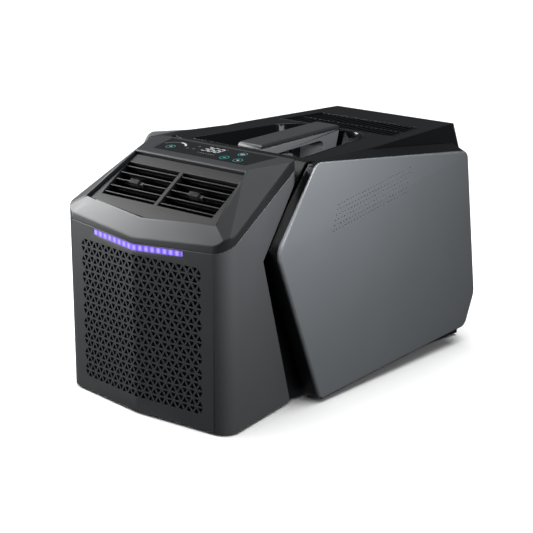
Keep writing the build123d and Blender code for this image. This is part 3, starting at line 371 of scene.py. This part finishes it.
class Pattern(Tree):
    """A Geometry Nodes tree with named sizes that lays out what repeats."""

    kinds = {int: "NodeSocketInt", float: "NodeSocketFloat", tuple: "NodeSocketVector"}

    def __init__(self, name, **sizes):
        super().__init__(bpy.data.node_groups.new(name, "GeometryNodeTree"))
        self.sizes = sizes
        face = self.tree.interface
        face.new_socket("Geometry", in_out="INPUT", socket_type="NodeSocketGeometry")
        face.new_socket("Geometry", in_out="OUTPUT", socket_type="NodeSocketGeometry")
        self.keys = {
            label: face.new_socket(label, in_out="INPUT", socket_type=self.kinds[type(size)]).identifier
            for label, size in sizes.items()
        }
        self.inlet = self.tree.nodes.new("NodeGroupInput")
        self.outlet = self.tree.nodes.new("NodeGroupOutput")

    def size(self, label):
        return Value(self, self.inlet.outputs[label])

    def base(self):
        return Value(self, self.inlet.outputs["Geometry"])

    def vector(self, x, y, z):
        return self.node("ShaderNodeCombineXYZ", {}, {0: x, 1: y, 2: z})

    def row(self, count, start, step):
        """A row of points."""
        return self.node(
            "GeometryNodeMeshLine", {}, {"Count": count, "Start Location": start, "Offset": step})

    def put(self, points, shape, **more):
        return self.node("GeometryNodeInstanceOnPoints", {}, {"Points": points, "Instance": shape, **more})

    def made(self, name, geometry, material, points=()):
        """The pattern as a plain mesh; points are what it may be laid out on."""
        real = self.node("GeometryNodeRealizeInstances", {}, {0: geometry})
        done = self.node("GeometryNodeSetMaterial", {}, {"Geometry": real, "Material": material})
        self.feed(self.outlet.inputs["Geometry"], done)
        mesh = bpy.data.meshes.new(name)
        mesh.from_pydata([tuple(p) for p in points], [], [])
        piece = bpy.data.objects.new(name, mesh)
        bpy.context.scene.collection.objects.link(piece)
        modifier = piece.modifiers.new("pattern", "NODES")
        modifier.node_group = self.tree
        for label, size in self.sizes.items():
            modifier[self.keys[label]] = size
        return settle(piece)


def fin_stack(name, node, pitch):
    """The fins of a coil, standing a little proud of the block that they fill."""
    low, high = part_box(node)
    bends = 13 * mm
    count = int((high.x - low.x - 2 * bends) / pitch)
    proud = 0.25 * mm
    pattern = Pattern(
        name, Count=count, Pitch=pitch, Thickness=0.5 * mm,
        Start=(low.x + bends, (low.y + high.y) / 2, (low.z + high.z) / 2),
        Depth=high.y - low.y + 2 * proud, Height=high.z - low.z)
    plate = pattern.node("GeometryNodeMeshCube", {}, {
        "Size": pattern.vector(pattern.size("Thickness"), pattern.size("Depth"), pattern.size("Height"))})
    step = pattern.vector(pattern.size("Pitch"), 0.0, 0.0)
    line = pattern.row(pattern.size("Count"), pattern.size("Start"), step)
    return pattern.made(name, pattern.put(line, plate), fin_alloy)


kept(fin_stack("evaporator_fins", "evaporator_coil", 2.6 * mm), "housing", "coil_aluminium")
kept(fin_stack("condenser_fins", "condenser_coil", 2.2 * mm), "housing", "coil_aluminium")

# ---- fans and ducts ---------------------------------------------------------
# The blower and its scroll, the duct up to the outlets, and the condenser fan in
# its ring are all dark glass-filled mouldings.
inner_black = moulded("fan_moulding", (0.028, 0.028, 0.031), 0.45, 0.0008, 0.00006)
for node in ("blower_wheel", "blower_housing", "outlet_duct", "condenser_fan", "fan_shroud"):
    dress(node, inner_black)

# ---- filter -----------------------------------------------------------------
# A washable filter behind the nose: a black frame with a nylon net across it.
net_black = moulded("filter_net", (0.03, 0.03, 0.033), 0.6, 0.0006, 0.00005)
dress("air_filter", net_black)
filter_low, filter_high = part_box("air_filter")
net = Pattern(
    "filter_net", Across=54, Upright=60, Thread=0.5 * mm,
    Low=tuple(filter_low), Width=filter_high.x - filter_low.x, Height=filter_high.z - filter_low.z)
net_rows = []
for count, length, turned_up in (("Upright", "Height", True), ("Across", "Width", False)):
    width = net.size("Thread")
    if turned_up:
        bar = net.vector(width, width, net.size("Height"))
        step = net.vector(net.size("Width") / net.size("Upright"), 0.0, 0.0)
        shift = net.vector(0.0, 0.0, net.size("Height") * 0.5)
    else:
        bar = net.vector(net.size("Width"), width, width)
        step = net.vector(0.0, 0.0, net.size("Height") / net.size("Across"))
        shift = net.vector(net.size("Width") * 0.5, 0.0, 0.0)
    thread = net.node("GeometryNodeMeshCube", {}, {"Size": bar})
    start = net.node("ShaderNodeVectorMath", {"operation": "ADD"}, {0: net.size("Low"), 1: shift})
    net_rows.append(net.put(net.row(net.size(count), start, step), thread))
join = net.tree.nodes.new("GeometryNodeJoinGeometry")
for threads in net_rows:
    net.tree.links.new(threads.socket, join.inputs[0])
kept(net.made("filter_threads", Value(net, join.outputs[0]), net_black), "housing", "filter_mesh")

# ---- electronics ------------------------------------------------------------
# Glass-epoxy boards with green solder mask; copper shows through as paler lines.
board_green = Finish("solder_mask", Roughness=0.32, Coat_Weight=0.3)
track = abs(board_green.along(0).wave(0.0052) + board_green.along(1).wave(0.0075)) > 0.8
board_green.surface(Base_Color=board_green.tone(track, (0.006, 0.075, 0.03, 1), (0.02, 0.15, 0.06, 1)))
for node in ("power_board", "control_board", "light_board"):
    dress(node, board_green.material)


# ---- mid frame and rear casing ----------------------------------------------
# Satin black mouldings: the waist behind the head, the body shell with its top
# deck and side intake slots, and the black pods that carry the side panels.
def patch_seams(shape, limit=radians(0.4)):
    """The edges that only divide a flat patch with no hole in it, in a meshed moulding."""
    seen = set()
    for start in shape.faces:
        if start in seen:
            continue
        patch, front = [start], [start]
        seen.add(start)
        while front:
            for edge in front.pop().edges:
                for other in edge.link_faces:
                    if other not in seen and other.normal.angle(start.normal, 1.0) < limit:
                        seen.add(other)
                        patch.append(other)
                        front.append(other)
        corners = {vert for face in patch for vert in face.verts}
        sides = {edge for face in patch for edge in face.edges}
        inside = set(patch)
        seams = [edge for edge in sides
                 if len(edge.link_faces) == 2 and inside.issuperset(edge.link_faces)]
        rim = sides.difference(seams)
        one_loop = len(rim) == len({vert for edge in rim for vert in edge.verts})
        if one_loop and len(corners) - len(sides) + len(patch) == 1:
            yield from seams


def edged(name, node, material, width, segments=2, angle=30, shortest=1.2 * mm, merge=True):
    """A copy of a moulding with its sharp corners rounded off, as a mould leaves them."""
    shape = bmesh.new()
    shape.from_mesh(nodes[node].data)
    bmesh.ops.remove_doubles(shape, verts=shape.verts, dist=2e-6)
    shape.normal_update()
    if merge:
        bmesh.ops.dissolve_edges(shape, edges=list(patch_seams(shape)), use_verts=False)
    weight = shape.edges.layers.float.new("bevel_weight_edge")
    for edge in shape.edges:
        sharp = len(edge.link_faces) == 2 and edge.calc_face_angle() > radians(angle)
        rounded = sharp and edge.calc_length() > shortest
        edge[weight] = 1.0 if rounded else 0.0
        edge.smooth = rounded or not sharp
    mesh = bpy.data.meshes.new(name)
    shape.to_mesh(mesh)
    shape.free()
    for layer in list(mesh.uv_layers):
        mesh.uv_layers.remove(layer)
    piece = from_mesh(name, mesh, material, smooth=True)
    bevel = piece.modifiers.new("corners", "BEVEL")
    bevel.limit_method = "WEIGHT"
    bevel.width = width
    bevel.segments = segments
    bevel.use_clamp_overlap = False
    bevel.loop_slide = False
    even = piece.modifiers.new("even", "WEIGHTED_NORMAL")
    even.weight = 100
    even.keep_sharp = True
    settle(piece)
    return piece


satin_black = moulded("satin_black", (0.010, 0.0105, 0.012), 0.36, 0.0005, 0.00003, 0.12)
kept(edged("casing_shell", "main_casing", satin_black, 0.9 * mm), "housing", "body_black", "main_casing")
kept(edged("waist_frame", "mid_frame", satin_black, 1.0 * mm), "housing", "body_black", "mid_frame")
for side in ("left", "right"):
    kept(edged(f"{side}_pod_frame", f"{side}_pod", satin_black, 1.2 * mm),
         "housing", "body_black", f"{side}_pod")

# ---- handle well and handle -------------------------------------------------
# The well is a glossy black insert with scooped ends. The handle is two grey
# halves, cap on grip, that meet in a fine seam and screw down into the well.
gloss_black = moulded("gloss_black", (0.006, 0.006, 0.007), 0.16, 0.02, 0.00004, 0.1, Coat_Weight=0.5)
kept(edged("well_insert", "handle_well", gloss_black, 0.8 * mm, angle=38),
     "housing", "well_black", "handle_well")
handle_satin = moulded("handle_satin", (0.085, 0.089, 0.095), 0.36, 0.0005, 0.00003, 0.05)
kept(edged("handle_top", "handle_cap", handle_satin, 0.7 * mm), "housing", "handle_grey", "handle_cap")
handle_lower = edged("handle_bottom", "handle_grip", handle_satin, 1.2 * mm, 3)
kept(handle_lower, "housing", "handle_grey", "handle_grip")
lit_by_side_box.objects.link(handle_lower)

# ---- exhaust grille ---------------------------------------------------------
# A black ribbed grille in the rear of the top, over the condenser fan.
rib_black = moulded("rib_black", (0.011, 0.011, 0.013), 0.3, 0.0006, 0.00003)
kept(edged("exhaust_ribs", "exhaust_grille", rib_black, 0.45 * mm),
     "housing", "body_black", "exhaust_grille")

# ---- side panels ------------------------------------------------------------
# Grey faceted covers with a chamfer all round, two soft creases and a field of
# small vent holes, clipped to the pods.
panel_satin = moulded("panel_satin", (0.118, 0.126, 0.134), 0.37, 0.0005, 0.00003, 0.04)
for side in ("left", "right"):
    cover = edged(f"{side}_panel_cover", f"{side}_panel", panel_satin, 1.3 * mm, 3, 26)
    kept(cover, "housing", "panel_grey", f"{side}_panel")
    lit_by_side_box.objects.link(cover)

# ---- head -------------------------------------------------------------------
# The nose shell and the hood are graphite mouldings that meet in a fine seam.
# The nose is pierced by an equilateral lattice; its ribs have softened corners.
head_satin = moulded("head_satin", (0.088, 0.092, 0.098), 0.36, 0.0005, 0.00003, 0.05)
nose_satin = moulded("nose_satin", (0.060, 0.063, 0.067), 0.40, 0.0005, 0.00003, 0.05)
kept(edged("hood_shell", "hood", head_satin, 1.1 * mm, 3, 14, merge=False),
     "housing", "shell_grey", "hood")
nose_cover = edged("nose_shell", "front_shell", nose_satin, 0.8 * mm, shortest=8 * mm)
kept(nose_cover, "housing", "shell_grey", "front_shell")
lit_by_side_box.objects.link(nose_cover)

# ---- outlets ----------------------------------------------------------------
# A brushed grey plate sunk in the hood's slope frames two windows. In each, five
# black slats turn on pins; a ribbed knob on the middle one also swings the vanes.
plate_grey = Finish("brushed_plate", Metallic=0.25)
streak = plate_grey.noise(1.0, 3.0, (40, 1400, 1400))
plate_grey.surface(
    Base_Color=plate_grey.tone(streak, (0.040, 0.039, 0.040, 1), (0.060, 0.059, 0.060, 1)),
    Roughness=streak * 0.16 + 0.38,
    Normal=plate_grey.relief(streak, 0.00003),
)
kept(edged("outlet_plate", "vent_plate", plate_grey.material, 0.6 * mm),
     "housing", "plate_grey", "vent_plate")

louvre_black = moulded("louvre_black", (0.011, 0.011, 0.012), 0.34, 0.0006, 0.00003)
# The slats' front edges carry a grey rod with rounded ends. It is a painted highlight on the black slats,
# standing in for the light that their rounded edges catch.
slat_highlight_grey = moulded("slat_edge", (0.085, 0.085, 0.088), 0.34, 0.0006, 0.00003)
knob_grey = moulded("knob_grey", (0.062, 0.062, 0.065), 0.4, 0.0006, 0.00004)
pivots = {j["child"]: Vector(j["pos_m"]) for j in frame["joints"] if "pos_m" in j}
slope_up = (pivots["left_slat_5"] - pivots["left_slat_1"]).normalized()
slope_out = Vector((1, 0, 0)).cross(slope_up)
slope_turn = Matrix((Vector((1, 0, 0)), slope_up, slope_out)).transposed().to_euler()
# The rail laid out below is that grey painted highlight along each slat's front edge.
slat_reach = 7.0 * mm      # from the pivot to the slat's front edge
rail_r = 0.92 * mm         # the rounded front edge of a slat
rail_depth = 1.0 * mm      # its middle lies this far behind the slat's front
rail_inset = (3.0 * mm, 10.0 * mm)
dot_inset = 5.5 * mm

for side in ("left", "right"):
    for i in range(1, 4):
        dress(f"{side}_vane_{i}", louvre_black)
    for i in range(1, 6):
        node = f"{side}_slat_{i}"
        dress(node, louvre_black)
        low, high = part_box(node)
        front = pivots[node] + slope_out * (slat_reach - rail_depth)
        rail = Pattern(
            node + "_edge", Length=high.x - low.x - sum(rail_inset), Radius=rail_r,
            Start=(low.x + rail_inset[0], front.y, front.z), Dot=high.x - low.x - dot_inset)
        spine = rail.node("GeometryNodeCurvePrimitiveLine", {}, {
            "Start": rail.size("Start"),
            "End": rail.node("ShaderNodeVectorMath", {"operation": "ADD"}, {
                0: rail.size("Start"), 1: rail.vector(rail.size("Length"), 0.0, 0.0)})})
        ring = rail.node("GeometryNodeCurvePrimitiveCircle", {}, {
            "Resolution": 12, "Radius": rail.size("Radius")})
        bar = rail.node("GeometryNodeCurveToMesh", {}, {
            "Curve": spine, "Profile Curve": ring, "Fill Caps": True})
        ball = rail.node("GeometryNodeMeshUVSphere", {}, {
            "Segments": 12, "Rings": 8, "Radius": rail.size("Radius")})
        dots = rail.put(rail.row(2, rail.size("Start"), rail.vector(rail.size("Dot"), 0.0, 0.0)), ball)
        both = rail.tree.nodes.new("GeometryNodeJoinGeometry")
        for part in (bar, dots):
            rail.tree.links.new(part.socket, both.inputs[0])
        piece = rail.made(node + "_edge", Value(rail, both.outputs[0]), slat_highlight_grey)
        kept(piece, node, "louvre_black")

# knob: the clip and the ribbed tab
rib_count = 7
knob_tab = 16 * mm
rib_pitch = knob_tab / (rib_count + 1)
for side in ("left", "right"):
    node = f"{side}_knob"
    kept(edged(f"{side}_knob_body", node, knob_grey, 0.5 * mm, merge=False), node, "knob_grey", node)
    low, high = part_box(node)
    top = pivots[f"{side}_slat_3"] + slope_out * (slat_reach + 2.0 * mm)
    ribs = Pattern(
        f"{side}_knob_ribs", Count=rib_count, Pitch=rib_pitch, Turn=tuple(slope_turn),
        Start=(low.x + rib_pitch, top.y, top.z), Size=(0.9 * mm, 5.0 * mm, 0.7 * mm))
    bar = ribs.node("GeometryNodeMeshCube", {}, {"Size": ribs.size("Size")})
    line = ribs.row(ribs.size("Count"), ribs.size("Start"), ribs.vector(ribs.size("Pitch"), 0.0, 0.0))
    laid = ribs.put(line, bar, Rotation=ribs.size("Turn"))
    kept(ribs.made(f"{side}_knob_ribs", laid, knob_grey), node, "knob_grey")

# ---- touch panel ------------------------------------------------------------
# Black printed glass over the control board. Lit digits, a level arc and plain
# ring keys shine through it; each lies a hair above the glass.
glass_black = moulded(
    "panel_glass", (0.003, 0.003, 0.0035), 0.09, 0.03, 0.00001, 0.1, Coat_Weight=1.0)
dress("control_glass", glass_black)
glass_low, glass_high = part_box("control_glass")
deck_out = Vector((0, 0, 0))
for face in nodes["control_glass"].data.polygons:
    if face.normal.z > 0.9:
        deck_out += face.normal * face.area
deck_out.normalize()
deck_back = deck_out.cross(Vector((1, 0, 0))).normalized()
glass_drop = (glass_high.y - glass_low.y) * deck_back.z / deck_back.y
glass_front = Vector((0, glass_low.y, glass_high.z - glass_drop))


def lit(name, colour, strength):
    """Light through a printed icon, a little uneven over its width."""
    finish = Finish(name, Roughness=0.4, Emission_Strength=strength)
    drift = finish.noise(400.0)
    glow = finish.tone(drift, shade(colour, 0.8), shade(colour, 1.1))
    finish.surface(Base_Color=(0.01, 0.01, 0.01, 1), Emission_Color=glow)
    return finish.material


def marks(name, outlines, material, height=0.08 * mm):
    """Flat printed marks on the glass, from outlines in millimetres across and back."""
    shape = bmesh.new()
    for outline in outlines:
        corners = []
        for x, v in outline:
            point = glass_front + Vector((x * mm, 0, 0)) + deck_back * (v * mm) + deck_out * height
            corners.append(shape.verts.new(point))
        face = shape.faces.new(corners)
        face.normal_update()
        if face.normal.dot(deck_out) < 0:
            face.normal_flip()
    mesh = bpy.data.meshes.new(name)
    shape.to_mesh(mesh)
    shape.free()
    kept(from_mesh(name, mesh, material), "housing", "control_glass")


def arc(centre, inner, outer, start, end, steps):
    """A band between two radii as a run of four-sided pieces; angles in degrees."""
    band = []
    for i in range(steps):
        a, b = (radians(start + (end - start) * k / steps) for k in (i, i + 1))
        band.append([
            (centre[0] + radius * cos(angle), centre[1] + radius * sin(angle))
            for radius, angle in ((inner, a), (outer, a), (outer, b), (inner, b))
        ])
    return band


def bar_mark(x, v, width, height):
    return [(x - width / 2, v - height / 2), (x + width / 2, v - height / 2),
            (x + width / 2, v + height / 2), (x - width / 2, v + height / 2)]


def digit(x, v, width, height, stroke, lean, segments):
    """A seven-segment digit from the names of its lit segments."""
    half, side = height / 2, width / 2
    flat, upright = (width - stroke, stroke), (stroke, half - stroke)
    places = {
        "a": (0, half, *flat), "g": (0, 0, *flat), "d": (0, -half, *flat),
        "f": (-side, half / 2, *upright), "b": (side, half / 2, *upright),
        "e": (-side, -half / 2, *upright), "c": (side, -half / 2, *upright),
    }
    return [[(x + px + lean * pv, v + pv) for px, pv in bar_mark(*places[s])] for s in segments]


key_teal = lit("key_teal", (0.03, 0.42, 0.40), 0.9)
digit_white = lit("digit_white", (0.80, 0.82, 0.86), 0.9)
mark_grey = lit("mark_grey", (0.30, 0.31, 0.33), 0.5)
keys = [(-64.6, 14.9), (33.0, 12.3), (56.7, 11.4), (44.5, 34.0)]
marks("key_rings", [p for key in keys for p in arc(key, 5.6, 6.5, 0, 360, 32)], key_teal)
marks("key_signs", [
    bar_mark(keys[0][0], keys[0][1], 4.6, 0.9), bar_mark(keys[0][0], keys[0][1] + 2.0, 2.6, 0.8),
    bar_mark(keys[1][0], keys[1][1], 4.4, 0.9), bar_mark(keys[2][0], keys[2][1], 4.4, 0.9),
    bar_mark(keys[2][0], keys[2][1] + 1.4, 0.9, 1.8), bar_mark(keys[2][0], keys[2][1] - 1.4, 0.9, 1.8),
    bar_mark(keys[3][0], keys[3][1], 0.9, 4.0), *arc(keys[3], 2.2, 3.0, 120, 420, 12),
], digit_white)
marks("level_arc", arc(keys[0], 18.4, 20.2, 158, 92, 12), mark_grey)
marks("level_arc_lit", arc(keys[0], 18.4, 21.2, 88, 34, 10), digit_white)
marks("digits", [
    *digit(-13.5, 30.0, 7.0, 15.0, 1.5, 0.12, "abgdc"),
    *digit(-3.0, 30.0, 7.0, 15.0, 1.5, 0.12, "acdefg"),
    *digit(7.5, 30.0, 7.0, 15.0, 1.5, 0.12, "abcdefg"),
], digit_white)
marks("small_marks", [
    *[bar_mark(-13 + 4.4 * i, 13.0, 2.4, 1.6 + 0.6 * (i % 3)) for i in range(7)],
    *arc((-30.0, 33.0), 1.2, 2.0, 0, 360, 12), *arc((-30.0, 22.0), 1.2, 2.0, 0, 360, 12),
    *arc((-39.0, 20.0), 1.2, 2.0, 0, 360, 12), *arc((14.5, 38.0), 0.7, 1.3, 0, 360, 10),
], mark_grey)

# ---- light bar --------------------------------------------------------------
# A frosted violet diffuser in the nose; each lamp behind it shows as a paler band.
lamp_pitch = 9.6 * mm
spot_r = 4.2 * mm
end_rise = 4.4 * mm         # the bar climbs this much from its middle to its ends
core_height = 4.8 * mm      # from the bar's lowest edge to the middle of its band
diffuser = Finish("light_diffuser", Roughness=0.35, Emission_Strength=1.3)
lamp = diffuser.along(0).wave(lamp_pitch) * 0.5 + 0.5
bar_low, bar_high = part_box("light_diffuser")
bar_rise = end_rise / bar_high.x
middle = bar_low.z + core_height + abs(diffuser.along(0)) * bar_rise
across = abs(diffuser.along(2) - middle) / spot_r
fade = 1 - across ** 2.0
spot = lamp * fade.maths("MAXIMUM", fade, 0.0)
diffuser.surface(
    Base_Color=(0.12, 0.09, 0.3, 1),
    Emission_Color=diffuser.tone(spot, (0.10, 0.055, 0.55, 1), (0.42, 0.32, 0.98, 1)),
)
dress("light_diffuser", diffuser.material)

# ---- rear cover, inlet, drain and screws ------------------------------------
# The louvred rear cover closes the casing. A round power socket and the drain
# spout come through it, and cross-recessed screws hold it.
kept(edged("rear_shell", "rear_cover", satin_black, 0.7 * mm), "housing", "body_black", "rear_cover")
socket_black = moulded("socket_black", (0.012, 0.012, 0.012), 0.42, 0.0006, 0.00004)
for node in ("power_inlet", "drain_spout"):
    kept(edged(node + "_body", node, socket_black, 0.4 * mm), "housing", "socket_black", node)


def screw_heads(name, places, axis, radius, height):
    """Pan heads with a cross recess, laid out on points and turned to an axis."""
    turn = Vector((0, 0, 1)).rotation_difference(Vector(axis)).to_euler()
    pattern = Pattern(
        name, Radius=radius, Height=height, Turn=tuple(turn), Slot=(radius * 1.25, radius * 0.26, height))
    disc = pattern.node("GeometryNodeMeshCone", {}, {
        "Vertices": 28, "Radius Top": pattern.size("Radius") * 0.72,
        "Radius Bottom": pattern.size("Radius"), "Depth": pattern.size("Height")}, "Mesh")
    slots = []
    for quarter in (0.0, pi / 2):
        cut = pattern.node("GeometryNodeMeshCube", {}, {"Size": pattern.size("Slot")})
        slots.append(pattern.node("GeometryNodeTransform", {}, {
            "Geometry": cut, "Rotation": (0, 0, quarter + 0.4),
            "Translation": pattern.vector(0.0, 0.0, pattern.size("Height") * 0.95)}))
    head = disc
    for cut in slots:
        head = pattern.node("GeometryNodeMeshBoolean", {"operation": "DIFFERENCE"}, {
            "Mesh 1": head, "Mesh 2": cut}, "Mesh")
    laid = pattern.put(pattern.base(), head, Rotation=pattern.size("Turn"))
    return pattern.made(name, laid, zinc, places)


def islands(node):
    """The lowest and highest corners of each separate solid in a CAD node."""
    shape = bmesh.new()
    shape.from_mesh(nodes[node].data)
    bmesh.ops.remove_doubles(shape, verts=shape.verts, dist=2e-6)
    left = set(shape.verts)
    found = []
    while left:
        grown = [left.pop()]
        group = list(grown)
        while grown:
            for edge in grown.pop().link_edges:
                for vert in edge.verts:
                    if vert in left:
                        left.remove(vert)
                        grown.append(vert)
                        group.append(vert)
        low = Vector(min(v.co[k] for v in group) for k in range(3))
        high = Vector(max(v.co[k] for v in group) for k in range(3))
        found.append((low, high))
    shape.free()
    return found


head_height = 1.4 * mm
cover_heads, handle_heads = [], []
for low, high in islands("casing_screws"):
    centre = (low + high) / 2
    if high.y - low.y < high.z - low.z:
        cover_heads.append(Vector((centre.x, high.y - head_height / 2, centre.z)))
        head_r = (high.z - low.z) / 2
    else:
        handle_heads.append(Vector((centre.x, centre.y, low.z + head_height / 2)))
rear_screws = screw_heads("rear_screws", cover_heads, (0, 1, 0), head_r, head_height)
kept(rear_screws, "housing", "screw_steel", "casing_screws")
kept(screw_heads("handle_screws", handle_heads, (0, 0, -1), head_r, head_height), "housing", "screw_steel")

# ---- size and finish --------------------------------------------------------
low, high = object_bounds()
{"cad": [list(cad_low), list(cad_high)], "visual": [list(low), list(high)]}
